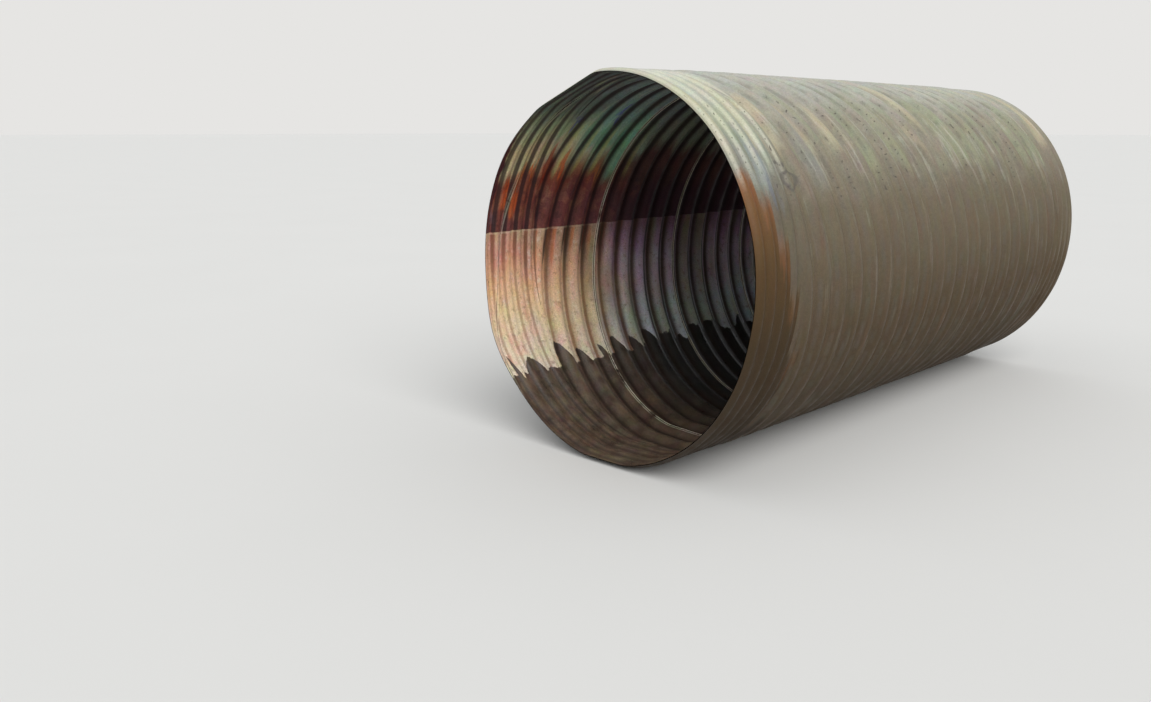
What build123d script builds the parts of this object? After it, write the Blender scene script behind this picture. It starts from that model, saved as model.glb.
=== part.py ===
from build123d import *
import os
from math import ceil, cos, exp, hypot, log, pi, radians, sin

# A helically corrugated steel culvert pipe, lying along Y with its mouth at -Y.
# One corrugated strip is wound round and round and locked to itself along a
# helical seam. Both ends are re-rolled to shallow ring corrugations, so that a
# coupling band could close on them, and are cut square.
# Millimetres and degrees. Angles go round the axis from +X towards +Z.

# The strip: lay is how far its seam moves along the pipe in one turn
bore = 1500.0
lay = 625.0
turns = 5
sheet = 3.0
pitches_per_turn = 5
body_depth = 26.0
end_pitch = 68.0
end_depth = 13.0
end_waves = 4
blend_length = 90.0

# The seam that locks each turn to the next: the next turn has a lip inside, the last one outside
seam_exit_angle = 228.0
seam_gap = 0.3
lip_width = 13.0
lip_height = 4.5
lip_slope = 4.0

# The ends are cut square through the strip: what is cut off, and where its points are blunted
cut_off = 40.0
tip_angle = 1.5

# The round wall is cut into sectors, named in the order that the seam runs
sector_names = ["left_wall", "left_shoulder", "crown", "right_wall", "right_haunch", "invert"]

# How the section departs from a circle
tall_share = 0.04
bed_flat_depth = 8.0
flat_softness = 2.0

# Damage at the mouth: a stretch of rim pressed flat, a sag beside it, and one sprung outward
rim_flat_angle = 112.7
rim_flat_depth = 31.4
rim_flat_reach = 150.0
rim_sag_angle = 122.0
rim_sag_width = 16.0
rim_sag_depth = 20.0
rim_flare_angle = 208.0
rim_flare_width = 15.0
rim_flare_depth = 22.0
rim_flare_reach = 180.0

# How finely the curves are drawn
point_spacing = 9.0
section_angle = 5.0

# Worked out from the values above
body_pitch = lay / pitches_per_turn
length = turns * lay
mean_radius = (bore + body_depth) / 2
end_length = end_waves * end_pitch
sector_angle = 360.0 / len(sector_names)
invert_angle = 270.0
invert_radius = mean_radius * (1 + tall_share)
axis_height = invert_radius + body_depth / 2 + sheet - bed_flat_depth


def oval(angle):
    """Mean radius of the wall, standing a little taller than it is wide."""
    return mean_radius * (1 - tall_share * cos(radians(2 * angle)))


def turn_between(angle, centre):
    """Degrees from centre to angle, the short way round."""
    return (angle - centre + 180) % 360 - 180


def pressed_flat(radius, angle, centre, depth):
    """A radius held back by a flat, depth in from the wall, with soft corners."""
    turn = turn_between(angle, centre)
    if abs(turn) > 60:
        return radius
    flat = (oval(centre) - depth) / cos(radians(turn))
    over = (radius - flat) / flat_softness
    if over < -30:
        return radius
    if over > 30:
        return flat
    return flat + flat_softness * (over - log(1 + exp(over)))


def bump(distance, width):
    """1 in the middle of a swelling, falling away on both sides."""
    return exp(-((distance / width) ** 2))


def mean_line(angle, along):
    """Radius of the wall's middle before it is corrugated."""
    radius = pressed_flat(oval(angle), angle, invert_angle, bed_flat_depth)
    sag = rim_sag_depth * bump(turn_between(angle, rim_sag_angle), rim_sag_width)
    dented = pressed_flat(radius - sag, angle, rim_flat_angle, rim_flat_depth)
    radius += (dented - radius) * bump(along, rim_flat_reach)
    flare = rim_flare_depth * bump(turn_between(angle, rim_flare_angle), rim_flare_width)
    return radius + flare * bump(along, rim_flare_reach)


def seam_start(angle):
    """Degrees of winding from the seam's exit at the mouth."""
    return (seam_exit_angle - angle) % 360


def end_share(along):
    """1 in the re-rolled ends, 0 in the body, and a smooth step between."""
    from_end = min(along, length - along)
    step = min(1.0, max(0.0, (from_end - end_length) / blend_length))
    return 1 - step * step * (3 - 2 * step)


def inner_radius(angle, along):
    """Radius of the wall's inner face at an angle and a distance from the mouth."""
    share = end_share(along)
    from_end = min(along, length - along)
    ring = end_depth / 2 * cos(2 * pi * from_end / end_pitch)
    past_seam = along - lay * seam_start(angle) / 360
    helix = body_depth / 2 * cos(2 * pi * past_seam / body_pitch)
    return mean_line(angle, along) - share * ring - (1 - share) * helix


def outward(angle, along, offset):
    """Radius of a face that lies offset outside the inner face, square to it."""
    reach = 0.5
    rise = inner_radius(angle, along + reach) - inner_radius(angle, along - reach)
    return inner_radius(angle, along) + offset * hypot(1, rise / (2 * reach))


def wall_point(angle, along, offset):
    """A point of a face, with the ground at Z = 0 and the middle of the length at Y = 0."""
    radius = outward(angle, along, offset)
    x = radius * cos(radians(angle))
    z = axis_height + radius * sin(radians(angle))
    return Vector(x, along - length / 2, z)


def face_curve(angle, start, stop, offset, count):
    """The line of a face in the plane through the axis at one angle."""
    steps = [i / (count - 1) for i in range(count)]
    points = [wall_point(angle, start + (stop - start) * step, offset) for step in steps]
    return Edge.make_spline(points, parameters=steps)


def lip_lines(angle, edge, away, face, height):
    """A lip's two lines, from the edge of the sheet over its top to its foot.
    away is 1 if the lip runs on along the pipe from the edge, and -1 if it runs back."""
    top = wall_point(angle, edge, face + height)
    shoulder = wall_point(angle, edge + away * (lip_width - lip_slope), face + height)
    foot = wall_point(angle, edge + away * lip_width, face)
    return [Edge.make_line(top, shoulder), Edge.make_line(shoulder, foot)]


def cross_section(angle, start, stop, lip_inside, lip_outside, count):
    """The cut face of a strip in the plane through the axis at one angle."""
    inner_start, inner_edge = start, 0.0
    outer_stop, outer_edge = stop, sheet
    edges = []
    if lip_inside:
        inner_start, inner_edge = start + lip_width, -lip_height
        edges += lip_lines(angle, start, 1, 0.0, -lip_height)
    if lip_outside:
        outer_stop, outer_edge = stop - lip_width, sheet + lip_height
        edges += lip_lines(angle, stop, -1, sheet, lip_height)
    edges.append(face_curve(angle, inner_start, stop, 0.0, count))
    edges.append(face_curve(angle, start, outer_stop, sheet, count))
    edges.append(Edge.make_line(wall_point(angle, start, inner_edge), wall_point(angle, start, sheet)))
    edges.append(Edge.make_line(wall_point(angle, stop, 0.0), wall_point(angle, stop, outer_edge)))
    return Wire(edges)


def strip_piece(turn, sector):
    """One sector of one turn of the corrugated strip, between its two seams."""
    first, last = sector * sector_angle, (sector + 1) * sector_angle
    if turn == 0:
        first = max(first, tip_angle)
    if turn == turns:
        last = min(last, 360 - tip_angle)
    sections = ceil((last - first) / section_angle) + 1
    windings = [first + (last - first) * i / (sections - 1) for i in range(sections)]
    spans = []
    for winding in windings:
        start = -cut_off if turn == 0 else lay * (winding / 360 + turn - 1) + seam_gap / 2
        stop = length + cut_off if turn == turns else lay * (winding / 360 + turn) - seam_gap / 2
        spans.append((start, stop))
    count = ceil(max(stop - start for start, stop in spans) / point_spacing) + 1
    cuts = []
    for winding, (start, stop) in zip(windings, spans):
        cuts.append(cross_section(seam_exit_angle - winding, start, stop, turn > 0, turn < turns, count))
    piece = Solid.make_loft(cuts)
    if turn == 0:
        piece = piece.split(Plane.XZ.offset(length / 2), keep=Keep.BOTTOM)
    if turn == turns:
        piece = piece.split(Plane.XZ.offset(-length / 2), keep=Keep.TOP)
    return piece


def write(name, solid):
    solid.label = name
    export_step(solid, f"parts/{name}.step")


os.makedirs("parts", exist_ok=True)
for turn in range(turns + 1):
    for sector, sector_name in enumerate(sector_names):
        write(f"strip_{turn + 1}_{sector_name}", strip_piece(turn, sector))
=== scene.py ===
import math
from collections import namedtuple

import bpy
import numpy as np
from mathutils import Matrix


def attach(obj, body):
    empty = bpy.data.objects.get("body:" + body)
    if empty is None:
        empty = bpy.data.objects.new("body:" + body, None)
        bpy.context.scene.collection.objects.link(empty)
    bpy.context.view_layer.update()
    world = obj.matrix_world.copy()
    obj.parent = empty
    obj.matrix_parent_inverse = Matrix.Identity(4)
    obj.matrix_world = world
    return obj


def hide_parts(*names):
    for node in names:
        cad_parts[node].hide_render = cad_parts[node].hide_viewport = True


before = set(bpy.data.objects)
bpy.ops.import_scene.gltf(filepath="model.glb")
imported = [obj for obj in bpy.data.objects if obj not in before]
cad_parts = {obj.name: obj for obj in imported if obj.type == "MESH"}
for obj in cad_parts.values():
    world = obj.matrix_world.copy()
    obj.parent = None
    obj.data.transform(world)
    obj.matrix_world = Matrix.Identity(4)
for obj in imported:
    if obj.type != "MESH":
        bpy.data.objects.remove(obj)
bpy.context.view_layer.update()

# The pipe's own sizes, in metres. Angles are in degrees, from +X towards +Z.
BORE = 1.500
SHEET = 0.003
BODY_PITCH, BODY_DEPTH = 0.125, 0.026
END_PITCH, END_DEPTH = 0.068, 0.013
END_WAVES = 4
BLEND_LENGTH = 0.090
PITCHES_PER_TURN, TURNS = 5, 5
SEAM_EXIT_ANGLE = 228.0
INVERT_ANGLE = 270.0
TIP_ANGLE = 1.5

# How the section departs from a circle, and how a flat in it ends: how soft its corners are, how
# many softnesses away a corner is past its curve, and how far round a flat can reach
TALL_SHARE = 0.04
BED_FLAT_DEPTH = 0.008
FLAT_SOFTNESS = 0.002
PAST_CORNER = 30
FLAT_REACH_ANGLE = 60

# Damage at the mouth: a stretch of rim pressed flat, a sag beside it, and one sprung outward
RIM_FLAT_ANGLE, RIM_FLAT_DEPTH, RIM_FLAT_REACH = 112.7, 0.0314, 0.150
RIM_SAG_ANGLE, RIM_SAG_WIDTH, RIM_SAG_DEPTH = 122.0, 16.0, 0.020
RIM_FLARE_ANGLE, RIM_FLARE_WIDTH, RIM_FLARE_DEPTH, RIM_FLARE_REACH = 208.0, 15.0, 0.022, 0.180

# Worked out from the values above
LAY = PITCHES_PER_TURN * BODY_PITCH
LENGTH = TURNS * LAY
MEAN_RADIUS = (BORE + BODY_DEPTH) / 2
END_LENGTH = END_WAVES * END_PITCH
AXIS_HEIGHT = MEAN_RADIUS * (1 + TALL_SHARE) + BODY_DEPTH / 2 + SHEET - BED_FLAT_DEPTH

# The seam's fold: where its rounded lip lies, as shares of its width and height, how much of its
# height is left in the re-rolled ends, and how wide the strip is where its lips are whole
SEAM_GAP = 0.0008
LIP_WIDTH, LIP_HEIGHT = 0.013, 0.0045
LIP_PROFILE = np.array([
    (0, 0.7), (0.08, 0.93), (0.2, 1), (0.4, 0.97), (0.55, 0.85), (0.7, 0.5), (0.85, 0.15), (1, 0),
])
LIP_LEFT_IN_ENDS = 0.35
WHOLE_LIP_STRIP = 3 * LIP_WIDTH

# Unevenness of the sheet: depth, cells round the pipe, length of a cell, seed of the random values.
# The last kind dies away within RIM_WAVES_REACH, and all of them near where the pipe lies on the ground.
BROAD_WAVES = (0.0012, 14, 0.23, 3)
SMALL_KNOCKS = (0.0004, 60, 0.05, 5)
RIM_WAVES = (0.001, 30, 1.0, 9)
RIM_WAVES_REACH = 0.03
BED_WIDTH_ANGLE = 25.0

# How finely the wall is drawn, and over how short a way its slope is measured
ROW_SPACING = 0.0085
COLUMN_ANGLE = 1.25
SLOPE_REACH = 0.0005

# Photograph's camera, from a fit to the rim and three seams
PHOTO_WIDTH = 1151
FOCAL_PIXELS = 1000.0
SENSOR_WIDTH = 36.0
CAMERA_AZIMUTH, CAMERA_ELEVATION = 44.35, 12.47
CAMERA_PLACE = (2.700, -4.485, 1.367)

# Light: an even sky, and a wide soft sun that stands in front of the mouth and to its right
SKY_TINT, SKY_STRENGTH = (0.96, 0.98, 1.0, 1.0), 0.7
SUN_STRENGTH, SUN_SPREAD = 2.4, 50.0
SUN_AZIMUTH, SUN_ELEVATION = 58.0, 38.0

# The floor and what the camera sees behind it, in colours from 0 to 255
FLOOR_SHADE, FLOOR_ROUGHNESS, FLOOR_REACH = (214, 213, 210), 0.95, 300.0
BACKDROP_SHADE = (230, 229, 227)


# Shape of the wall

def oval(angle):
    """Mean radius of the wall, a little taller than wide."""
    return MEAN_RADIUS * (1 - TALL_SHARE * np.cos(np.radians(2 * angle)))


def turn_between(angle, centre):
    """Degrees from centre to angle, the short way round."""
    return (angle - centre + 180) % 360 - 180


def pressed_flat(radius, angle, centre, depth):
    """A radius held back by a flat that lies depth in from the wall."""
    aside = np.clip(turn_between(angle, centre), -FLAT_REACH_ANGLE, FLAT_REACH_ANGLE)
    flat = (oval(centre) - depth) / np.cos(np.radians(aside))
    over = np.clip((radius - flat) / FLAT_SOFTNESS, -PAST_CORNER, PAST_CORNER)
    held = flat + FLAT_SOFTNESS * (over - np.log1p(np.exp(over)))
    return np.where(radius > flat - PAST_CORNER * FLAT_SOFTNESS, np.minimum(held, radius), radius)


def bump(distance, width):
    """1 in the middle of a swelling, falling away on both sides."""
    return np.exp(-((distance / width) ** 2))


def smooth(share):
    """A share from 0 to 1, eased at both ends."""
    return share * share * (3 - 2 * share)


def mean_line(angle, along):
    """Radius of the wall's middle before it is corrugated, along metres in from the mouth."""
    radius = pressed_flat(oval(angle), angle, INVERT_ANGLE, BED_FLAT_DEPTH)
    sag = RIM_SAG_DEPTH * bump(turn_between(angle, RIM_SAG_ANGLE), RIM_SAG_WIDTH)
    dented = pressed_flat(radius - sag, angle, RIM_FLAT_ANGLE, RIM_FLAT_DEPTH)
    radius = radius + (dented - radius) * bump(along, RIM_FLAT_REACH)
    flare = RIM_FLARE_DEPTH * bump(turn_between(angle, RIM_FLARE_ANGLE), RIM_FLARE_WIDTH)
    return radius + flare * bump(along, RIM_FLARE_REACH)


def corrugation(angle, along):
    """How far round its wave a point is, in the ends' rings and in the helix, and the rings' share."""
    from_end = np.minimum(along, LENGTH - along)
    past_seam = along - LAY * ((SEAM_EXIT_ANGLE - angle) % 360) / 360
    ring, helix = 2 * math.pi * from_end / END_PITCH, 2 * math.pi * past_seam / BODY_PITCH
    return ring, helix, 1 - smooth(np.clip((from_end - END_LENGTH) / BLEND_LENGTH, 0, 1))


def inner_radius(angle, along):
    """Radius of the inner face."""
    ring, helix, share = corrugation(angle, along)
    crest = share * END_DEPTH / 2 * np.cos(ring) + (1 - share) * BODY_DEPTH / 2 * np.cos(helix)
    return mean_line(angle, along) - crest


def wave_place(angle, along):
    """For the paint: 1 on an inner crest to -1 in a groove, 1 on the slope that looks away
    from the mouth to -1 on the slope that looks to it, and 1 in the helical body."""
    ring, helix, share = corrugation(angle, along)
    crest = share * np.cos(ring) + (1 - share) * np.cos(helix)
    away = share * np.sin(ring) + (1 - share) * np.sin(helix)
    return np.stack([crest, away, 1 - share], -1)


def lattice_noise(angle, along, cells_round, cell_length, seed):
    """Smooth random values from -1 to 1, which join up round the pipe."""
    rng = np.random.default_rng(seed)
    rows = int(LENGTH / cell_length) + 4
    lattice = rng.uniform(-1, 1, (cells_round, rows))
    u = (angle % 360) / 360 * cells_round
    v = np.clip(along / cell_length + 1, 0, rows - 2)
    i, j = np.floor(u).astype(int), np.floor(v).astype(int)
    share_u, share_v = smooth(u - i), smooth(v - j)
    i, next_i, next_j = i % cells_round, (i + 1) % cells_round, j + 1
    low = lattice[i, j] * (1 - share_u) + lattice[next_i, j] * share_u
    high = lattice[i, next_j] * (1 - share_u) + lattice[next_i, next_j] * share_u
    return low * (1 - share_v) + high * share_v


def unevenness(angle, along, depth, cells_round, cell_length, seed):
    """How far in one kind of unevenness presses the sheet, up to twice its depth."""
    return depth * (1 + lattice_noise(angle, along, cells_round, cell_length, seed))


def wear(angle, along):
    """How far the sheet is knocked in from its true radius."""
    broad = unevenness(angle, along, *BROAD_WAVES)
    small = unevenness(angle, along, *SMALL_KNOCKS)
    at_mouth = bump(along, RIM_WAVES_REACH) * unevenness(angle, along, *RIM_WAVES)
    off_ground = 1 - bump(turn_between(angle, INVERT_ANGLE), BED_WIDTH_ANGLE)
    return (broad + small + at_mouth) * off_ground


def sheet_face(angle, along, offset):
    """Points of a face that lies offset outside the inner face, square to it."""
    change = inner_radius(angle, along + SLOPE_REACH) - inner_radius(angle, along - SLOPE_REACH)
    square = np.hypot(1, change / (2 * SLOPE_REACH))
    radius = inner_radius(angle, along) + offset * square - wear(angle, along)
    x, z = radius * np.cos(np.radians(angle)), radius * np.sin(np.radians(angle))
    return np.stack([x, along - LENGTH / 2, AXIS_HEIGHT + z], -1)


# Meshes. A grid of points is stored column by column, and a column is a line along the pipe.

INNER_SLOT, OUTER_SLOT, EDGE_SLOT = 0, 1, 2

# A grid of points with their normals and their places on the wave, the material slot of its
# quads, and whether these are turned over
Patch = namedtuple("Patch", "points normals waves slot flip")


def grid_faces(columns, rows, start, flip):
    """Quads of a grid whose first point is number start."""
    c, r = np.meshgrid(np.arange(columns - 1), np.arange(rows - 1), indexing="ij")
    corner = start + c * rows + r
    quads = np.stack([corner, corner + 1, corner + rows + 1, corner + rows], -1).reshape(-1, 4)
    return quads[:, ::-1] if flip else quads


def make_mesh(name, points, quads, slots):
    """A smooth mesh object from points and quads, with a material slot for each quad."""
    mesh = bpy.data.meshes.new(name)
    mesh.from_pydata(points.tolist(), [], quads.tolist())
    mesh.polygons.foreach_set("material_index", np.asarray(slots, dtype=np.int32))
    mesh.polygons.foreach_set("use_smooth", np.ones(len(quads), dtype=bool))
    mesh.update()
    piece = bpy.data.objects.new(name, mesh)
    bpy.context.collection.objects.link(piece)
    return piece


def face_normals(points, outward):
    """Unit normals of a grid of points, pointing out of the pipe or into it."""
    normals = np.cross(np.gradient(points, axis=1), np.gradient(points, axis=0))
    normals /= np.linalg.norm(normals, axis=-1, keepdims=True)
    away = points * (1, 0, 1) - (0, 0, AXIS_HEIGHT)
    sign = np.sign((normals * away).sum(-1, keepdims=True))
    return normals * (sign if outward else -sign)


def strip_rows(turn, winding):
    """Where a turn's points lie along the pipe, and how far its seam lips stand off inside and
    outside there. The lips run out where the strip narrows to a point."""
    start = np.maximum(0, LAY * (winding / 360 + turn - 1))[:, None]
    stop = np.minimum(LENGTH, LAY * (winding / 360 + turn))[:, None]
    size = np.clip((stop - start) / WHOLE_LIP_STRIP, 0, 1)
    in_body = 1 - corrugation(0.0, start if turn > 0 else stop)[2]
    lip_height = size * (LIP_LEFT_IN_ENDS + (1 - LIP_LEFT_IN_ENDS) * in_body) * LIP_HEIGHT
    first = start + SEAM_GAP / 2 + size * LIP_WIDTH * LIP_PROFILE[:, 0]
    last = stop - SEAM_GAP / 2 - size * LIP_WIDTH * LIP_PROFILE[::-1, 0]
    steps = np.linspace(0, 1, int(LAY / ROW_SPACING))[1:-1]
    middle = first[:, -1:] + (last[:, :1] - first[:, -1:]) * steps
    along = np.concatenate([first, middle, last], axis=1)
    lip, flat = lip_height * LIP_PROFILE[:, 1], np.zeros_like(middle)
    none = np.zeros_like(lip)
    inside = np.concatenate([lip if turn > 0 else none, flat, none], axis=1)
    outside = np.concatenate([none, flat, lip[:, ::-1] if turn < TURNS else none], axis=1)
    return along, inside, outside


def strip_patches(turn):
    """The inner face, the outer face and both cut edges of one turn of the corrugated strip."""
    first = TIP_ANGLE if turn == 0 else 0.0
    last = 360 - TIP_ANGLE if turn == TURNS else 360.0
    winding = np.linspace(first, last, int(round((last - first) / COLUMN_ANGLE)) + 1)
    along, inside, outside = strip_rows(turn, winding)
    angle = np.broadcast_to(SEAM_EXIT_ANGLE - winding[:, None], along.shape)
    inner, outer = sheet_face(angle, along, -inside), sheet_face(angle, along, SHEET + outside)
    waves = wave_place(angle, along)
    patches = [
        Patch(inner, face_normals(inner, outward=False), waves, INNER_SLOT, flip=False),
        Patch(outer, face_normals(outer, outward=True), waves, OUTER_SLOT, flip=True),
    ]
    for row, side in ((0, -1.0), (-1, 1.0)):
        edge = np.stack([inner[:, row], outer[:, row]], 1)
        normals = np.broadcast_to([0.0, side, 0.0], edge.shape)
        patches.append(Patch(edge, normals, np.zeros(edge.shape), EDGE_SLOT, flip=side > 0))
    return patches


def in_one_list(grids):
    """The points of several grids, one after another."""
    return np.concatenate([grid.reshape(-1, 3) for grid in grids])


def strip_skin(turn):
    """One turn of the corrugated strip as a mesh, which carries its waves for the paint."""
    patches = strip_patches(turn)
    faces, slots, start = [], [], 0
    for patch in patches:
        columns, rows = patch.points.shape[:2]
        faces.append(grid_faces(columns, rows, start, patch.flip))
        slots += [patch.slot] * len(faces[-1])
        start += columns * rows
    points = in_one_list([patch.points for patch in patches])
    piece = make_mesh(f"strip_skin_{turn + 1}", points, np.concatenate(faces), slots)
    normals = in_one_list([patch.normals for patch in patches])
    piece.data.normals_split_custom_set_from_vertices(normals.tolist())
    waves = in_one_list([patch.waves for patch in patches])
    attribute = piece.data.attributes.new("wave", "FLOAT_VECTOR", "POINT")
    attribute.data.foreach_set("vector", waves.astype(np.float32).reshape(-1))
    return piece


# Materials

# Which sockets of a mix node take and give colours
MIX_FIRST, MIX_SECOND, MIX_RESULT = 6, 7, 2

# How strongly every surface reflects light at its face: weathered and dusty, so less than 0.5
SPECULAR = 0.3


def colour(red, green, blue):
    """A colour from 0 to 255 as screens show it, in the numbers the shaders use."""
    parts = []
    for part in (red, green, blue):
        part /= 255
        parts.append(part / 12.92 if part <= 0.04045 else ((part + 0.055) / 1.055) ** 2.4)
    return (*parts, 1.0)


class Paint:
    """A material's nodes, made one at a time. A value is a number or another node's output."""

    def __init__(self, name):
        self.material = bpy.data.materials.new(name)
        self.material.use_nodes = True
        self.tree = self.material.node_tree
        self.shader = self.tree.nodes["Principled BSDF"]
        self.shader.inputs["Specular IOR Level"].default_value = SPECULAR

    def put(self, socket, value):
        """Give an input its value. None leaves the input as it is."""
        if isinstance(value, bpy.types.NodeSocket):
            self.tree.links.new(value, socket)
        elif value is not None:
            socket.default_value = value

    def sum(self, operation, first, second=None):
        """One sum, by the math node's name for it."""
        node = self.tree.nodes.new("ShaderNodeMath")
        node.operation = operation
        self.put(node.inputs[0], first)
        self.put(node.inputs[1], second)
        return node.outputs[0]

    def add(self, *values):
        """All values added up."""
        total = values[0]
        for value in values[1:]:
            total = self.sum("ADD", total, value)
        return total

    def times(self, *values):
        """All values multiplied."""
        total = values[0]
        for value in values[1:]:
            total = self.sum("MULTIPLY", total, value)
        return total

    def minus(self, first, second):
        """The first value less the second."""
        return self.sum("SUBTRACT", first, second)

    def larger(self, first, second):
        """The larger of two values."""
        return self.sum("MAXIMUM", first, second)

    def blend(self, share, first, second):
        """A number between two others."""
        return self.add(self.times(share, self.minus(second, first)), first)

    def step(self, value, low, high, out_low=0.0, out_high=1.0):
        """A smooth change from out_low to out_high while the value goes from low to high.
        Low may be the larger of the two: the change then runs the other way."""
        node = self.tree.nodes.new("ShaderNodeMapRange")
        node.interpolation_type = "SMOOTHSTEP"
        for socket, number in zip(node.inputs, (value, low, high, out_low, out_high)):
            self.put(socket, number)
        return node.outputs[0]

    def band(self, value, centre, width, softness):
        """1 within half the width of the centre, 0 beyond the softness outside it."""
        away = self.sum("ABSOLUTE", self.minus(value, centre))
        return self.step(away, width / 2, width / 2 + softness, 1.0, 0.0)

    def window(self, value, rise, full, fall, gone):
        """1 from full to fall, and 0 before rise and past gone."""
        return self.times(self.step(value, rise, full), self.step(value, fall, gone, 1.0, 0.0))

    def swing(self, value, size):
        """A noise from 0 to 1 turned into one from -size to size, give or take."""
        return self.times(self.minus(value, 0.5), 2 * size)

    def join(self, x, y, z=0.0):
        """A vector from its parts."""
        node = self.tree.nodes.new("ShaderNodeCombineXYZ")
        for socket, number in zip(node.inputs, (x, y, z)):
            self.put(socket, number)
        return node.outputs[0]

    def split(self, vector):
        """A vector's parts."""
        node = self.tree.nodes.new("ShaderNodeSeparateXYZ")
        self.put(node.inputs[0], vector)
        return node.outputs

    def stretch(self, vector, x, y, z=1.0):
        """A vector with each part multiplied by a number of its own."""
        node = self.tree.nodes.new("ShaderNodeVectorMath")
        node.operation = "MULTIPLY"
        self.put(node.inputs[0], vector)
        node.inputs[1].default_value = (x, y, z)
        return node.outputs[0]

    def noise(self, vector, scale, detail=4.0, roughness=0.55, output="Fac"):
        """A cloudy noise from 0 to 1, with scale clouds to the metre, or one of colours."""
        node = self.tree.nodes.new("ShaderNodeTexNoise")
        self.put(node.inputs["Vector"], vector)
        node.inputs["Scale"].default_value = scale
        node.inputs["Detail"].default_value = detail
        node.inputs["Roughness"].default_value = roughness
        return node.outputs[output]

    def cells(self, vector, scale):
        """How far a point is from the middle of its cell, with scale cells to the metre."""
        node = self.tree.nodes.new("ShaderNodeTexVoronoi")
        self.put(node.inputs["Vector"], vector)
        node.inputs["Scale"].default_value = scale
        return node.outputs["Distance"]

    def ramp(self, value, stops):
        """A colour that changes with a value, by stops of (value, colour)."""
        node = self.tree.nodes.new("ShaderNodeValToRGB")
        elements = node.color_ramp.elements
        while len(elements) < len(stops):
            elements.new(0.5)
        for element, (place, shade) in zip(elements, stops):
            element.position = place
            element.color = colour(*shade)
        self.put(node.inputs[0], value)
        return node.outputs[0]

    def mix(self, share, first, second, blend="MIX"):
        """The second colour over the first."""
        node = self.tree.nodes.new("ShaderNodeMix")
        node.data_type, node.blend_type = "RGBA", blend
        self.put(node.inputs["Factor"], share)
        self.put(node.inputs[MIX_FIRST], first)
        self.put(node.inputs[MIX_SECOND], second)
        return node.outputs[MIX_RESULT]

    def over(self, base, shade, *shares):
        """A layer of one colour over the base, as thick as all its shares multiplied."""
        return self.mix(self.times(*shares), base, colour(*shade))

    def shaded(self, base, brightness):
        """The base made darker, or lighter where the brightness is over 1."""
        return self.mix(1.0, base, self.join(brightness, brightness, brightness), "MULTIPLY")

    def finish(self, base, roughness, height=None, bump_distance=0.001):
        """The finished material, of a colour, a roughness and a relief."""
        self.put(self.shader.inputs["Base Color"], base)
        self.put(self.shader.inputs["Roughness"], roughness)
        if height is not None:
            node = self.tree.nodes.new("ShaderNodeBump")
            node.inputs["Distance"].default_value = bump_distance
            node.inputs["Strength"].default_value = 1.0
            self.put(node.inputs["Height"], height)
            self.put(self.shader.inputs["Normal"], node.outputs[0])
        return self.material


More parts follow.
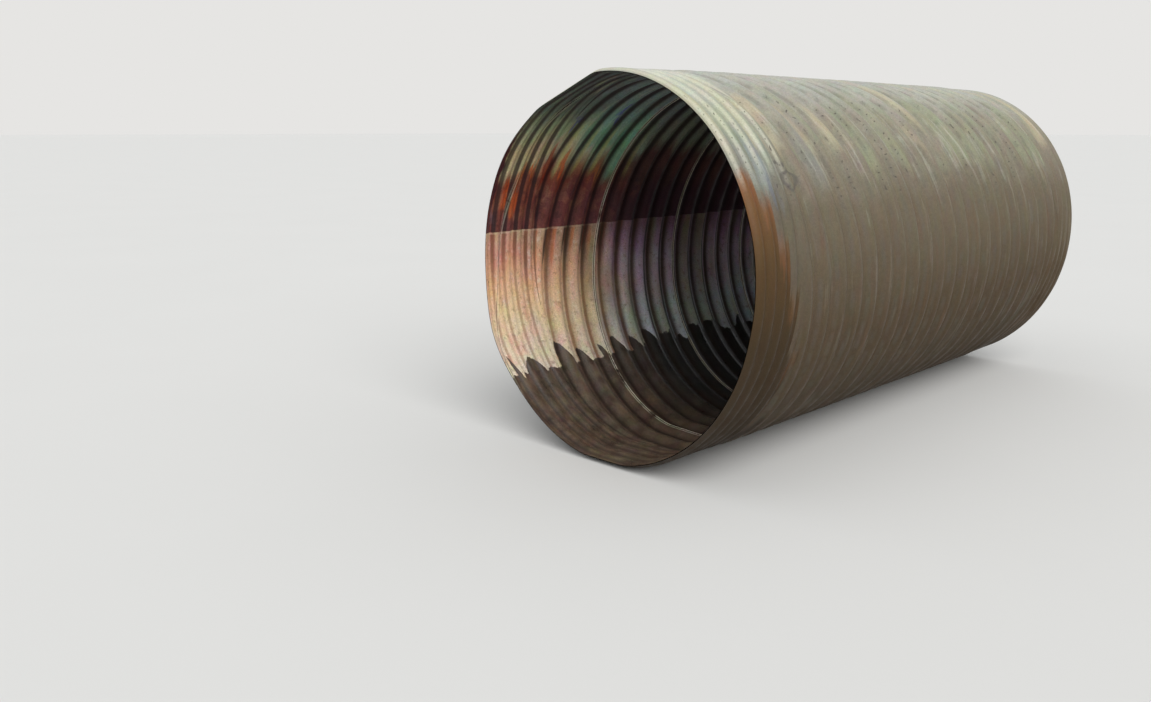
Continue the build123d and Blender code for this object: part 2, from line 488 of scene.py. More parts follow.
class WallPaint(Paint):
    """Paint that knows where on the pipe it is.

    Metres: height above the ground, along from the mouth, arc round the pipe from its crown, and
    past_seam and from_seam along the pipe from the first seam and from the nearest one.
    From 0 to 1: phase, which is 0 on an inner crest, 0.25 on the slope that looks away from the
    mouth, 0.5 in a groove and 0.75 on the slope that looks to the mouth, body in the helical part
    and rings in the ends. Noises: flow (fine) and waves (broad) along the corrugations, and drift,
    patch and grain, each finer than the one before.
    """

    def __init__(self, name):
        super().__init__(name)
        self.place = self.tree.nodes.new("ShaderNodeTexCoord").outputs["Object"]
        x, y, self.height = self.split(self.place)
        self.along = self.add(y, LENGTH / 2)
        from_crown = self.sum("ARCTAN2", x, self.minus(self.height, AXIS_HEIGHT))
        self.arc = self.times(from_crown, MEAN_RADIUS)
        winding = self.add(self.times(from_crown, 180 / math.pi), SEAM_EXIT_ANGLE - 90)
        self.past_seam = self.minus(self.along, self.times(winding, LAY / 360))
        turns = self.add(self.times(self.past_seam, 1 / LAY), 0.5)
        self.from_seam = self.times(self.minus(self.sum("FRACT", turns), 0.5), LAY)
        node = self.tree.nodes.new("ShaderNodeAttribute")
        node.attribute_name = "wave"
        crest, self.away, self.body = self.split(node.outputs["Vector"])
        turned = self.sum("ARCTAN2", self.away, crest)
        self.phase = self.sum("FRACT", self.add(self.times(turned, 0.5 / math.pi), 1.0))
        self.rings = self.minus(1.0, self.body)
        self.flow = self.streaks(2.2, 30.0, 6.0)
        self.waves = self.streaks(0.9, 9.0, 1.0)
        self.drift = self.noise(self.place, 4.0, 4.0, 0.6)
        self.patch = self.noise(self.place, 13.0, 5.0, 0.6)
        self.grain = self.noise(self.place, 170.0, 3.0, 0.7)

    def streaks(self, round_scale, along_scale, detail):
        """A noise drawn out along the corrugations: square to the pipe at its ends, helical between."""
        kinds = []
        for along in (self.along, self.past_seam):
            drawn_out = self.stretch(self.join(self.arc, along), round_scale, along_scale)
            kinds.append(self.noise(drawn_out, 1.0, detail, 0.62))
        return self.blend(self.body, *kinds)

    def by_height(self, height, stops):
        """A colour for each height above the ground, in metres up to PAINT_HEIGHT."""
        places = [(level / PAINT_HEIGHT, shade) for level, shade in stops]
        return self.ramp(self.times(height, 1 / PAINT_HEIGHT), places)

    def speckled(self, base, darkest, lightest):
        """The base with fine grains of dirt in it."""
        return self.shaded(base, self.step(self.grain, 0.3, 0.72, darkest, lightest))

    def mottled(self, base, share):
        """The base with many faint tints in it, in patches of all sizes up to a hand's width."""
        tints = self.noise(self.stretch(self.place, 1.0, 1.0, 0.45), 16.0, 8.0, 0.72, output="Color")
        return self.mix(share, base, tints, "OVERLAY")

    def from_middle(self, along, height, middle, half_size):
        """How far a point is from the middle of an oval mark, which is 1 at its outline."""
        aside = self.times(self.minus(along, middle[0]), 1 / half_size[0])
        above = self.times(self.minus(height, middle[1]), 1 / half_size[1])
        return self.sum("SQRT", self.add(self.times(aside, aside), self.times(above, above)))

    def spots(self, base, along, height, places):
        """Stains one by one: place along the pipe, height, half length, half height, colour, share."""
        for y, z, half_length, half_height, shade, share in places:
            away = self.from_middle(along, height, (y, z), (half_length, half_height))
            base = self.over(base, shade, self.step(away, 1.25, 0.55, 0.0, share))
        return base


# The inner wall's colours, from 0 to 255 as screens show them. First those of rust
PLUM_RUST, RED_RUST, BROWN_RUST = (116, 64, 62), (136, 73, 54), (90, 60, 54)
# The first colour here is used deep inside, where its darkness is partly painted shade.
DARK_RUST_AND_SHADE, WINE, SCORCH = (68, 40, 49), (82, 38, 44), (56, 24, 30)
FLAME, ORANGE, AMBER, WORN_RUST = (160, 50, 26), (198, 90, 42), (186, 114, 58), (160, 108, 84)
SMUDGE, RUST_RUN, FRESH_DRIP, PIT = (78, 58, 48), (124, 58, 42), (206, 116, 58), (96, 70, 52)

# Green film, bare zinc, and steel that stays wet
TAN, STRAW, YELLOW, OLIVE = (146, 110, 80), (200, 186, 142), (186, 182, 102), (162, 172, 134)
MOSS, PALE_GREEN, SEA_GREEN = (100, 112, 98), (184, 200, 170), (148, 192, 168)
DULL_GREEN, TEAL, PALE_TEAL = (124, 131, 112), (94, 159, 124), (132, 196, 164)
# The last colour here tops the wall at the mouth, where its darkness is partly painted shade.
BLUE, GREEN_ZINC, ZINC, DARK_ZINC_AND_SHADE = (86, 88, 162), (122, 146, 136), (113, 123, 125), (78, 84, 84)
RUBBED_GREEN, RUBBED_SEAM = (168, 168, 132), (222, 216, 192)
WET_STEEL, WET_STEEL_DEEP = [(0.3, (66, 54, 46)), (0.7, (104, 88, 72))], (44, 42, 40)

# Dirt and painted shade in the grooves, and painted shade on slopes that no light reaches
DIRT_AND_SHADE_ABOVE, DIRT_AND_SHADE_AT_MOUTH = (38, 18, 22), (132, 96, 68)
DIRT_AND_SHADE_BEHIND, DIRT_AND_SHADE_LOW, UNLIT = (64, 46, 34), (48, 38, 32), (30, 25, 27)

# Dried silt
CHALK, CREAM, PEACH, APRICOT = (210, 204, 184), (223, 200, 166), (232, 192, 153), (230, 180, 141)
ROSE, CLAY, DUN, GREY_SILT = (220, 160, 132), (203, 166, 138), (172, 142, 120), (190, 198, 200)
# The last colour here is used deep inside, where its darkness is partly painted shade.
MUSHROOM, MAUVE, PLUM, DAMP_PLUM_AND_SHADE = (190, 170, 184), (166, 134, 158), (140, 106, 116), (128, 94, 112)
BLUSH, PALE_CRUST, DARK_CRUST = (212, 148, 130), (240, 224, 198), (112, 84, 60)
DAMP_GREEN, MOULD, TIDE_MARK = (128, 134, 88), (108, 84, 88), (206, 178, 150)

# Heights above the ground in metres: of the old stain line, and of the top of every ramp by height
STAIN_HEIGHT, PAINT_HEIGHT = 0.914, 1.6

# Which colours lie above and below the line by height, at the mouth, half a metre in and deep inside
# Deep inside, and at the top near the mouth, these colours are darker partly as painted shade.
ABOVE_AT_MOUTH = [
    (0.92, PLUM_RUST), (1.10, RED_RUST), (1.15, RED_RUST), (1.20, STRAW),
    (1.29, STRAW), (1.36, OLIVE), (1.44, MOSS), (1.60, DARK_ZINC_AND_SHADE),
]
ABOVE_HALF_METRE = [
    (0.92, PLUM_RUST), (1.06, PLUM_RUST), (1.14, RED_RUST), (1.19, TAN),
    (1.28, PALE_GREEN), (1.36, SEA_GREEN), (1.46, GREEN_ZINC), (1.60, ZINC),
]
ABOVE_DEEP = [
    (0.92, DARK_RUST_AND_SHADE), (1.06, DARK_RUST_AND_SHADE), (1.18, BROWN_RUST), (1.23, BROWN_RUST),
    (1.31, DULL_GREEN), (1.38, DULL_GREEN), (1.48, ZINC), (1.60, ZINC),
]
SILT_AT_MOUTH = [
    (0.20, CHALK), (0.48, CREAM), (0.62, PEACH), (0.71, APRICOT), (0.80, ROSE), (0.90, CLAY),
]
SILT_HALF_METRE = [
    (0.20, CHALK), (0.45, CREAM), (0.62, PEACH), (0.71, APRICOT), (0.80, CLAY), (0.90, DUN),
]
SILT_DEEP = [
    (0.20, GREY_SILT), (0.45, GREY_SILT), (0.58, MUSHROOM),
    (0.71, MUSHROOM), (0.80, MAUVE), (0.90, DAMP_PLUM_AND_SHADE),
]

# Single stains above the line: metres in from the mouth, height, half length, half height, colour, share
RUST_SPOTS = [
    (0.016, 1.21, 0.028, 0.25, WINE, 1.0),
    (0.025, 0.97, 0.024, 0.05, PLUM, 0.5),
    (0.091, 1.07, 0.026, 0.075, ORANGE, 0.95),
    (0.150, 1.04, 0.030, 0.070, ORANGE, 0.85),
    (0.148, 1.17, 0.030, 0.035, AMBER, 0.7),
    (0.215, 1.18, 0.026, 0.030, ORANGE, 0.85),
    (0.215, 1.05, 0.026, 0.070, RED_RUST, 0.6),
    (0.305, 1.20, 0.048, 0.085, FLAME, 0.85),
    (0.300, 1.03, 0.045, 0.070, WINE, 0.6),
    (0.385, 1.19, 0.025, 0.050, ORANGE, 0.8),
    (0.430, 1.13, 0.050, 0.050, FLAME, 0.35),
    (0.540, 1.10, 0.060, 0.080, WINE, 0.6),
    (0.660, 1.15, 0.050, 0.035, AMBER, 0.55),
    (0.350, 1.41, 0.035, 0.025, BLUE, 0.7),
    (0.585, 1.44, 0.045, 0.030, BLUE, 0.85),
    (0.560, 1.33, 0.120, 0.050, TEAL, 0.5),
    (0.700, 1.30, 0.060, 0.070, TEAL, 0.6),
]

# The silt's lower edge, where it stands higher (metres in from the mouth, half length, rise), and
# how much those humps lean to the mouth for each metre above the height where they don't
SILT_EDGE = 0.276
SILT_HUMPS = [
    (0.052, 0.009, 0.085), (0.156, 0.052, 0.062), (0.362, 0.046, 0.100), (0.474, 0.026, 0.062),
    (0.616, 0.016, 0.050), (0.735, 0.036, 0.075), (0.860, 0.030, 0.055), (0.985, 0.040, 0.080),
]
HUMP_LEAN, HUMP_HEIGHT = 0.25, 0.30


class InnerPaint(WallPaint):
    """Paint for the inner wall, in level bands that change with depth.

    level and depth are the height and the way in from the mouth with ragged edges, and to_middle
    and to_deep rise to 1 on that way. over_line and over_edge are metres above the stain line and
    above the silt's lower edge, and is_above and silted are 1 there.
    """

    def __init__(self, name):
        super().__init__(name)
        self.level = self.add(self.height, self.swing(self.flow, 0.08), self.swing(self.waves, 0.09))
        self.depth = self.add(self.along, self.swing(self.drift, 0.30), self.swing(self.patch, 0.10))
        self.to_middle = self.step(self.depth, 0.22, 0.50)
        self.to_deep = self.step(self.depth, 0.57, 1.03)
        uneven = self.swing(self.noise(self.place, 9.0, 3.0), 0.006)
        self.over_line = self.add(self.height, -STAIN_HEIGHT, uneven)
        self.is_above = self.step(self.over_line, -0.002, 0.003)
        self.over_edge = self.height_over_silt_edge()
        self.silted = self.step(self.over_edge, 0.0, 0.005)

    def by_depth(self, near, middle, deep):
        """A colour by height that changes from the mouth inward, darker deep inside partly as painted
        shade.
        """
        near, middle, deep = [self.by_height(self.level, stops) for stops in (near, middle, deep)]
        return self.mix(self.to_deep, self.mix(self.to_middle, near, middle), deep)

    def height_over_silt_edge(self):
        """How far a point is above the silt's torn lower edge, which stands higher in humps."""
        torn = self.add(self.height, self.swing(self.flow, 0.016), self.swing(self.patch, 0.030))
        leaning = self.add(self.along, self.times(self.minus(self.height, HUMP_HEIGHT), HUMP_LEAN))
        hump = 0.0
        for y, half_length, rise in SILT_HUMPS:
            aside = self.times(self.minus(leaning, y), 1 / half_length)
            round_top = self.minus(1.0, self.times(aside, aside))
            hump = self.larger(hump, self.times(round_top, rise))
        further_in = self.times(self.step(self.waves, 0.45, 0.65), self.step(self.along, 0.9, 1.2), 0.06)
        return self.minus(torn, self.add(hump, further_in, SILT_EDGE))


def worn_rust(paint, shade):
    """Dark streaks in the rust and, towards the mouth, worn and dark patches."""
    in_streaks = paint.step(paint.flow, 0.52, 0.66)
    shade = paint.over(shade, SCORCH, in_streaks, paint.step(paint.level, 1.36, 1.16), 0.45)
    in_rust = paint.times(paint.step(paint.level, 1.20, 1.08), paint.step(paint.depth, 1.2, 0.5), 0.45)
    shade = paint.over(shade, WORN_RUST, in_rust, paint.step(paint.patch, 0.50, 0.62))
    return paint.over(shade, SCORCH, in_rust, paint.step(paint.patch, 0.46, 0.36))


def damp_lines(paint, shade):
    """Yellow lines on the slopes that look to the mouth, and pale green before a seam."""
    yellow = paint.times(paint.band(paint.phase, 0.76, 0.05, 0.07), paint.body, 0.5)
    yellow = paint.times(yellow, paint.band(paint.level, 1.27, 0.12, 0.06))
    shade = paint.over(shade, YELLOW, yellow, paint.band(paint.along, 0.55, 0.50, 0.15))
    green = paint.window(paint.from_seam, -0.060, -0.030, -0.012, 0.0)
    green = paint.times(green, paint.band(paint.level, 1.27, 0.16, 0.10), 0.7)
    return paint.over(shade, PALE_TEAL, green, paint.band(paint.along, 0.66, 0.20, 0.20))


def above_line(paint):
    """Above the line: rust in drawn out stains, and green where it stays damp."""
    shade = paint.by_depth(ABOVE_AT_MOUTH, ABOVE_HALF_METRE, ABOVE_DEEP)
    along = paint.add(paint.along, paint.swing(paint.patch, 0.018))
    height = paint.add(paint.height, paint.swing(paint.flow, 0.16), paint.swing(paint.patch, 0.04))
    shade = paint.spots(shade, along, height, RUST_SPOTS)
    shade = damp_lines(paint, worn_rust(paint, shade))
    rubbed = paint.times(paint.step(paint.flow, 0.46, 0.34), paint.step(paint.level, 1.14, 1.28), 0.45)
    return paint.over(shade, RUBBED_GREEN, rubbed, paint.step(paint.depth, 1.0, 0.5))


def silt_coat(paint):
    """Below the line: dried silt, pink and yellow and, further in, green."""
    shade = paint.by_depth(SILT_AT_MOUTH, SILT_HALF_METRE, SILT_DEEP)
    pink = paint.step(paint.patch, 0.48, 0.66)
    shade = paint.over(shade, BLUSH, pink, paint.step(paint.depth, 1.1, 0.4), 0.45)
    pale = paint.step(paint.noise(paint.place, 26.0, 5.0, 0.7), 0.52, 0.66)
    shade = paint.over(shade, PALE_CRUST, pale, paint.step(paint.depth, 1.0, 0.4), 0.45)
    damp = paint.step(paint.waves, 0.50, 0.64)
    shade = paint.over(shade, DAMP_GREEN, damp, paint.step(paint.along, 0.35, 0.60), 0.55)
    mouldy = paint.step(paint.waves, 0.48, 0.36)
    shade = paint.over(shade, MOULD, mouldy, paint.step(paint.along, 0.50, 0.80), 0.45)
    dark = paint.step(paint.noise(paint.place, 42.0, 5.0, 0.65), 0.55, 0.66)
    return paint.over(shade, DARK_CRUST, dark, 0.45)


def rust_runs(paint, silt):
    """Rust that has run down from the line, on the slopes behind the crests and in the grooves."""
    level = paint.add(paint.height, paint.swing(paint.flow, 0.16), paint.swing(paint.waves, 0.10))
    fading = paint.step(paint.depth, 1.3, 0.7)
    on_slope = paint.times(paint.band(paint.phase, 0.38, 0.20, 0.16), paint.body)
    silt = paint.over(silt, SMUDGE, on_slope, paint.step(level, 0.75, 0.83), fading, 0.9)
    in_groove = paint.band(paint.phase, paint.blend(paint.body, 0.70, 0.56), 0.12, 0.12)
    at_mouth = paint.times(paint.band(paint.phase, 0.70, 0.08, 0.22), paint.step(paint.along, 0.20, 0.13))
    in_groove = paint.larger(in_groove, at_mouth)
    silt = paint.over(silt, RUST_RUN, in_groove, paint.step(level, 0.62, 0.88), fading, 0.85)
    drip = paint.times(paint.band(paint.phase, 0.74, 0.04, 0.08), paint.body, paint.step(level, 0.72, 0.80))
    return paint.over(silt, FRESH_DRIP, drip, paint.step(paint.depth, 0.8, 0.5), 0.7)


def bare_steel(paint):
    """Wet steel under the silt's lower edge."""
    return paint.mix(paint.to_deep, paint.ramp(paint.patch, WET_STEEL), colour(*WET_STEEL_DEEP))


def groove_line(paint):
    """How thick the dirt and painted shade in the grooves is: narrow, and wide at the mouth and deep
    inside.
    """
    middle = paint.blend(paint.body, 0.70, paint.step(paint.height, 1.15, 1.40, 0.54, 0.66))
    narrow, wide = [paint.band(paint.phase, middle, width, 0.11) for width in (0.05, 0.16)]
    widened = paint.times(paint.is_above, paint.rings, paint.step(paint.level, 1.48, 1.30, 0.15, 1.0))
    widened = paint.larger(widened, paint.times(paint.to_deep, 0.45))
    strength = paint.blend(paint.is_above, paint.step(paint.along, 0.1, 0.6, 0.55, 0.9), 0.85)
    return paint.times(paint.blend(widened, narrow, wide), strength)


def groove_colour(paint):
    """The colour of the dirt and painted shade: palest in the silt at the mouth, and darkest above the
    line.
    """
    darker = paint.larger(paint.to_deep, paint.step(paint.height, 0.50, 0.85))
    darker = paint.times(darker, paint.to_middle)
    dirt = paint.mix(darker, colour(*DIRT_AND_SHADE_AT_MOUTH), colour(*DIRT_AND_SHADE_BEHIND))
    dirt = paint.mix(paint.silted, colour(*DIRT_AND_SHADE_LOW), dirt)
    return paint.mix(paint.is_above, dirt, colour(*DIRT_AND_SHADE_ABOVE))


def groove_dirt_and_shade(paint, base):
    """Dirt and painted shade in every groove, and painted light and shade on the slopes."""
    dirt = groove_colour(paint)
    # A line of dirt and painted shade in each groove
    base = paint.mix(groove_line(paint), base, dirt)
    # A fainter band of the same dirt and painted shade just past each groove, in the helical part
    beside = paint.times(paint.band(paint.phase, 0.64, 0.06, 0.14), paint.body, 0.35)
    base = paint.mix(beside, base, dirt)
    # Painted shade on the slopes that look away from the mouth, between about one and two metres in
    unlit = paint.times(paint.band(paint.phase, 0.22, 0.20, 0.10), 0.8)
    base = paint.over(base, UNLIT, unlit, paint.band(paint.along, 1.6, 1.0, 0.3))
    # Painted light and shade by which way a slope looks: lighter where it looks away from the mouth,
    # except deep in the helical part where it is darker, and darker where it looks to the mouth
    brightest_painted_light = paint.blend(paint.body, 1.16, paint.step(paint.along, 0.7, 1.3, 1.40, 0.90))
    slope = paint.step(paint.away, -1.0, 1.0, paint.blend(paint.body, 0.84, 0.86), brightest_painted_light)
    return paint.shaded(base, slope)


def seam_shine(paint, base):
    """The sheet's two edges, rubbed bright on both sides of each seam."""
    after = paint.window(paint.from_seam, 0.0, 0.0015, 0.006, 0.009)
    before = paint.window(paint.from_seam, -0.009, -0.005, -0.0015, 0.0)
    rubbed = paint.times(paint.add(after, paint.times(before, 0.6)), paint.step(paint.patch, 0.32, 0.48))
    return paint.over(base, RUBBED_SEAM, rubbed, paint.blend(paint.body, 0.25, 1.0), 0.85)


def inner_wall():
    """Silt and rust inside the pipe, and bare steel at its bottom."""
    paint = InnerPaint("inner_wall")
    below = paint.mix(paint.silted, bare_steel(paint), rust_runs(paint, silt_coat(paint)))
    base = paint.mix(paint.is_above, below, above_line(paint))
    tide = paint.times(paint.band(paint.over_line, -0.004, 0.005, 0.004), 0.7)
    base = paint.over(base, TIDE_MARK, tide, paint.step(paint.along, 1.0, 0.2))
    base = seam_shine(paint, groove_dirt_and_shade(paint, base))
    base = paint.speckled(paint.mottled(base, 0.45), 0.74, 1.16)
    pits = paint.step(paint.cells(paint.place, 120.0), 0.16, 0.10)
    base = paint.over(base, PIT, pits, paint.step(paint.patch, 0.50, 0.60), 0.6)
    dry = paint.step(paint.patch, 0.3, 0.7, 0.62, 0.85)
    rough = paint.minus(dry, paint.step(paint.over_edge, 0.0, 0.005, 0.35, 0.0))
    silt_step = paint.step(paint.over_edge, -0.006, 0.006)
    relief = paint.add(paint.times(paint.grain, 0.5), paint.patch, silt_step)
    return paint.finish(base, rough, relief, 0.0014)


# Colours of the outer wall by height, beside the mouth and further back, and of the earth on it
# Lower down the sides these colours are darker, partly as painted shade
OUTSIDE_AT_MOUTH = [
    (0.80, (84, 74, 58)), (1.07, (93, 85, 70)), (1.30, (126, 130, 118)),
    (1.45, (154, 157, 139)), (1.60, (184, 186, 176)),
]
OUTSIDE_BEHIND = [
    (0.00, (58, 46, 30)), (0.60, (74, 60, 41)), (1.07, (99, 89, 71)),
    (1.40, (134, 129, 113)), (1.60, (168, 168, 158)),
]
EARTH = [(0.00, (40, 28, 12)), (0.60, (54, 38, 13)), (0.90, (74, 52, 19)), (1.25, (114, 76, 40))]

# Colours of film, runs and wear outside, and of a painted highlight on the ridges
GREEN_FILM, CREAM_FILM, BROWN_RUN = (136, 142, 112), (184, 172, 138), (92, 72, 54)
WASHED_ZINC, RIM_ZINC, RIDGE_HIGHLIGHT_ZINC = (196, 196, 182), (146, 144, 128), (208, 206, 184)
DULL_LINE, KNOCK_LINE, POCK = (90, 86, 78), (80, 75, 70), (56, 52, 46)
RUST_FRINGE, SEAM_DIRT = (128, 80, 50), (74, 69, 58)

# Colours of the cut edge, and of a painted highlight on it high up
EDGE_RUST = [(0.3, (60, 40, 30)), (0.55, (112, 78, 54)), (0.75, (168, 150, 126))]
EDGE_HIGHLIGHT_ZINC = (214, 214, 204)

# Single stains outside: metres back from the mouth, height, half length, half height, colour, share
OUTSIDE_SPOTS = [
    (0.150, 1.24, 0.060, 0.10, (134, 140, 139), 0.6),
    (0.166, 1.14, 0.012, 0.06, (94, 97, 104), 0.65),
    (0.215, 1.12, 0.010, 0.06, (94, 92, 88), 0.6),
    (0.296, 1.25, 0.034, 0.012, (78, 76, 70), 0.7),
    (0.420, 1.24, 0.055, 0.14, (122, 108, 97), 0.6),
    (0.520, 1.30, 0.060, 0.16, (122, 124, 120), 0.5),
    (0.340, 1.46, 0.080, 0.05, (174, 160, 130), 0.6),
]

# The earth beside the mouth: how high it is whole at the rim and where none is left, how much lower
# that is for each wave back and for the square of that number, and where on its pitch a wave begins
EARTH_WHOLE, EARTH_GONE = 1.17, 1.25
EARTH_DROP, EARTH_DROP_GROWTH = 0.075, 0.025
EARTH_WAVE_START = 0.18

# The round mark of a knock: its place back from the mouth and height, and half its length and height
KNOCK_MIDDLE, KNOCK_HALF_SIZE = (0.318, 1.186), (0.044, 0.034)

# How far apart the pocks in a row are
POCK_SPACING = 0.040


def weathered_zinc_and_shade(paint, level):
    """Weathered zinc, pale on top and darker down its sides partly as painted shade, with stains in it."""
    behind = paint.step(paint.add(paint.along, paint.swing(paint.patch, 0.08)), 0.20, 0.38)
    at_mouth = paint.by_height(level, OUTSIDE_AT_MOUTH)
    base = paint.mix(behind, at_mouth, paint.by_height(level, OUTSIDE_BEHIND))
    along = paint.add(paint.along, paint.swing(paint.patch, 0.02))
    height = paint.add(paint.height, paint.swing(paint.patch, 0.06), paint.swing(paint.flow, 0.05))
    base = paint.spots(base, along, height, OUTSIDE_SPOTS)
    spangle = paint.step(paint.cells(paint.place, 60.0), 0.1, 0.9, 0.95, 1.04)
    return paint.shaded(base, spangle)


def film_and_runs(paint, base, level):
    """Green and cream film near the top, brown runs below it, and washed streaks."""
    green = paint.step(paint.waves, 0.50, 0.62)
    base = paint.over(base, GREEN_FILM, green, paint.band(level, 1.36, 0.22, 0.12), 0.45)
    cream = paint.step(paint.waves, 0.48, 0.38)
    base = paint.over(base, CREAM_FILM, cream, paint.band(level, 1.44, 0.20, 0.10), 0.45)
    runs = paint.step(paint.flow, 0.54, 0.66)
    base = paint.over(base, BROWN_RUN, runs, paint.step(level, 1.52, 1.20), 0.4)
    washed = paint.step(paint.flow, 0.44, 0.34)
    return paint.over(base, WASHED_ZINC, washed, paint.step(level, 0.9, 1.4, 0.06, 0.3))


def earth_coat(paint, base):
    """Earth and rust beside the mouth, which reach lower on each wave from the rim."""
    wave = paint.add(paint.times(paint.along, 1 / END_PITCH), -EARTH_WAVE_START)
    wave = paint.sum("FLOOR", paint.larger(wave, 0.0))
    drop = paint.add(paint.times(wave, EARTH_DROP), paint.times(wave, wave, EARTH_DROP_GROWTH))
    ragged = paint.add(paint.swing(paint.flow, 0.16), paint.swing(paint.patch, 0.06))
    level = paint.add(paint.height, drop, ragged)
    earth = paint.by_height(paint.height, EARTH)
    base = paint.mix(paint.step(level, EARTH_GONE, EARTH_WHOLE), base, earth)
    fringe = paint.times(paint.band(level, 1.19, 0.05, 0.07), paint.step(paint.flow, 0.40, 0.60))
    return paint.over(base, RUST_FRINGE, fringe, paint.step(paint.along, 0.24, 0.08, 0.2, 0.5))


def ridge_wear_and_highlight(paint, base, level):
    """A dull margin at the rim, a painted highlight on the ridges, and dull lines beside them."""
    at_rim = paint.step(paint.along, 0.045, 0.010)
    base = paint.over(base, RIM_ZINC, at_rim, paint.step(level, 1.20, 1.40), 0.6)
    # Painted highlight along the rings' ridges outside, high up
    ridge_highlight = paint.times(paint.band(paint.phase, 0.27, 0.06, 0.14), paint.step(paint.body, 1.0, 0.0), 0.45)
    base = paint.over(base, RIDGE_HIGHLIGHT_ZINC, ridge_highlight, paint.step(level, 1.15, 1.30))
    beside = paint.times(paint.band(paint.phase, 0.22, 0.05, 0.09), paint.step(paint.patch, 0.36, 0.60))
    return paint.over(base, DULL_LINE, beside, paint.body, 0.35)


def pock_marks(paint, level):
    """Rows of small dark pocks along the ridges."""
    place_round = paint.swing(paint.noise(paint.place, 9.0, 2.0), 2.0)
    place_round = paint.add(place_round, paint.times(paint.arc, 1 / POCK_SPACING))
    nearest = paint.sum("ABSOLUTE", paint.minus(paint.sum("FRACT", place_round), 0.5))
    row = paint.band(paint.add(paint.phase, paint.swing(paint.patch, 0.16)), 0.26, 0.02, 0.03)
    here_and_there = paint.times(paint.band(level, 1.30, 0.34, 0.06), paint.step(paint.flow, 0.46, 0.54))
    return paint.times(paint.step(nearest, 0.12, 0.04), row, here_and_there, 0.75)


def knock_mark(paint, base):
    """The outline of a knock on the right of the mouth."""
    wobble = paint.swing(paint.noise(paint.place, 22.0, 2.0), 0.016)
    along, height = paint.add(paint.along, wobble), paint.add(paint.height, wobble)
    away = paint.from_middle(along, height, KNOCK_MIDDLE, KNOCK_HALF_SIZE)
    on_right = paint.step(paint.arc, 0.2, 0.4)
    return paint.over(base, KNOCK_LINE, paint.band(away, 1.0, 0.12, 0.22), on_right, 0.7)


def outer_wall():
    """Weathered zinc outside, pale on top, with earth and rust low down beside the mouth."""
    paint = WallPaint("outer_wall")
    level = paint.add(paint.height, paint.swing(paint.drift, 0.08), paint.swing(paint.flow, 0.05))
    base = film_and_runs(paint, weathered_zinc_and_shade(paint, level), level)
    base = ridge_wear_and_highlight(paint, earth_coat(paint, base), level)
    pocks = pock_marks(paint, level)
    base = knock_mark(paint, paint.over(base, POCK, pocks))
    at_seam = paint.window(paint.from_seam, -0.004, -0.001, 0.002, 0.006)
    base = paint.over(base, SEAM_DIRT, at_seam, 0.4)
    base = paint.speckled(paint.mottled(base, 0.2), 0.86, 1.08)
    uneven = paint.add(paint.times(paint.grain, 0.6), paint.times(paint.patch, 0.8))
    relief = paint.minus(uneven, paint.times(pocks, 0.8))
    return paint.finish(base, paint.step(paint.patch, 0.3, 0.7, 0.45, 0.7), relief, 0.0012)


def sheet_edge():
    """Rusted cut edge of the sheet, with a painted highlight of bright zinc high up."""
    paint = WallPaint("sheet_edge")
    rust = paint.ramp(paint.noise(paint.place, 60.0, 5.0, 0.6), EDGE_RUST)
    # Painted highlight of bright zinc along the edge high up
    base = paint.over(rust, EDGE_HIGHLIGHT_ZINC, paint.step(paint.height, 1.15, 1.30), 0.85)
    return paint.finish(paint.speckled(base, 0.85, 1.1), 0.7, paint.grain, 0.001)


# Light, floor and camera

def plain_material(name, shade, roughness):
    """A plain matt finish with the faintest grain."""
    paint = Paint(name)
    grain = paint.noise(None, 400.0, 3.0)
    base = paint.mix(grain, colour(*shade), colour(*[part - 3 for part in shade]))
    return paint.finish(base, roughness)


def make_floor():
    """A pale floor that runs far out."""
    corners = np.array([(-1, -1, 0), (1, -1, 0), (1, 1, 0), (-1, 1, 0)]) * FLOOR_REACH
    floor = make_mesh("floor", corners, np.array([[0, 1, 2, 3]]), [0])
    floor.data.materials.append(plain_material("floor_paint", FLOOR_SHADE, FLOOR_ROUGHNESS))


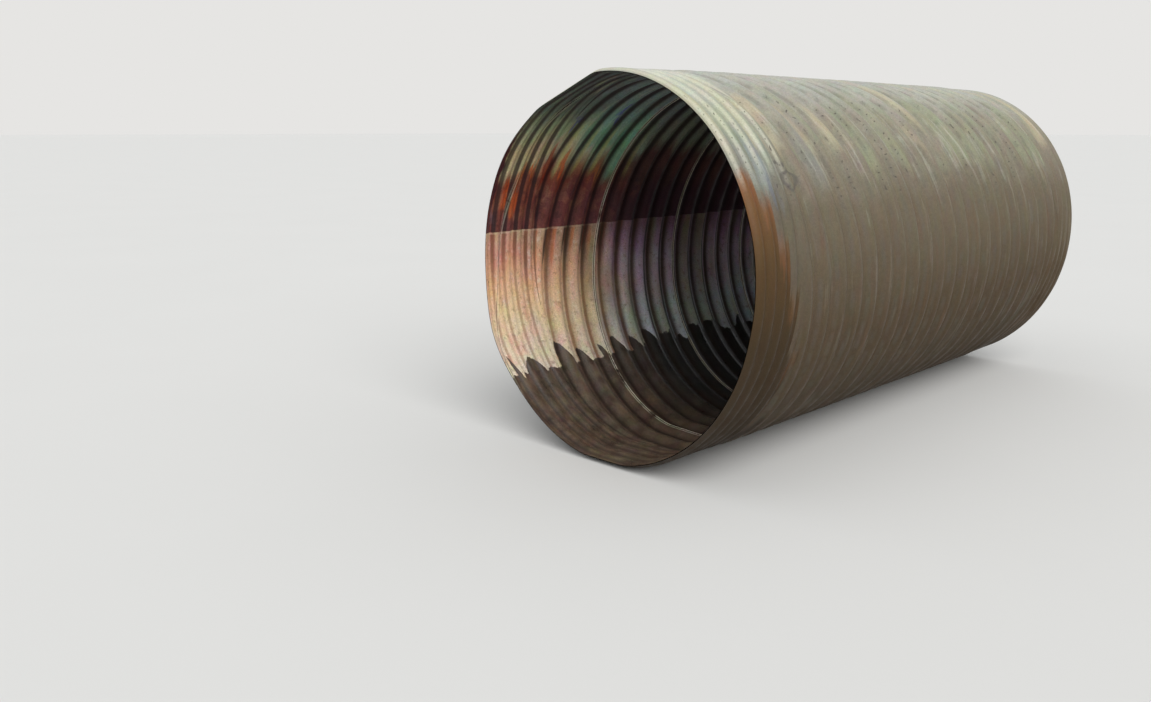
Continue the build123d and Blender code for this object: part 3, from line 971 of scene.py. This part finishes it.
def make_sky():
    """An even sky that lights the pipe, and a plain backdrop that the camera sees instead of it."""
    world = bpy.data.worlds.new("sky")
    bpy.context.scene.world = world
    world.use_nodes = True
    nodes, links = world.node_tree.nodes, world.node_tree.links
    light, backdrop = nodes["Background"], nodes.new("ShaderNodeBackground")
    both = nodes.new("ShaderNodeMixShader")
    light.inputs["Color"].default_value = SKY_TINT
    light.inputs["Strength"].default_value = SKY_STRENGTH
    backdrop.inputs["Color"].default_value = colour(*BACKDROP_SHADE)
    links.new(nodes.new("ShaderNodeLightPath").outputs["Is Camera Ray"], both.inputs[0])
    links.new(light.outputs[0], both.inputs[1])
    links.new(backdrop.outputs[0], both.inputs[2])
    links.new(both.outputs[0], nodes["World Output"].inputs[0])


def facing(azimuth, elevation):
    """The turn of a camera or a lamp that stands at an azimuth and looks down at an elevation."""
    return (math.radians(90 - elevation), 0, math.radians(azimuth))


def make_sun():
    """One soft lamp."""
    lamp = bpy.data.lights.new("key", "SUN")
    lamp.energy, lamp.angle = SUN_STRENGTH, math.radians(SUN_SPREAD)
    sun = bpy.data.objects.new("key", lamp)
    sun.rotation_euler = facing(SUN_AZIMUTH, SUN_ELEVATION)
    bpy.context.collection.objects.link(sun)


def make_camera():
    """The photograph's view, by a plain lens with no shift."""
    lens = bpy.data.cameras.new("camera")
    lens.sensor_width = SENSOR_WIDTH
    lens.lens = FOCAL_PIXELS / PHOTO_WIDTH * SENSOR_WIDTH
    camera = bpy.data.objects.new("camera", lens)
    camera.location = CAMERA_PLACE
    camera.rotation_euler = facing(CAMERA_AZIMUTH, CAMERA_ELEVATION)
    bpy.context.collection.objects.link(camera)
    bpy.context.scene.camera = camera


scene = bpy.context.scene
scene.view_settings.view_transform = "Standard"
make_camera()
make_floor()
make_sky()
make_sun()

# In the order of INNER_SLOT, OUTER_SLOT and EDGE_SLOT
wall_paints = [inner_wall(), outer_wall(), sheet_edge()]
for turn in range(TURNS + 1):
    skin = strip_skin(turn)
    for paint in wall_paints:
        skin.data.materials.append(paint)
    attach(skin, "root")
    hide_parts(*[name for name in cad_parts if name.startswith(f"strip_{turn + 1}_")])
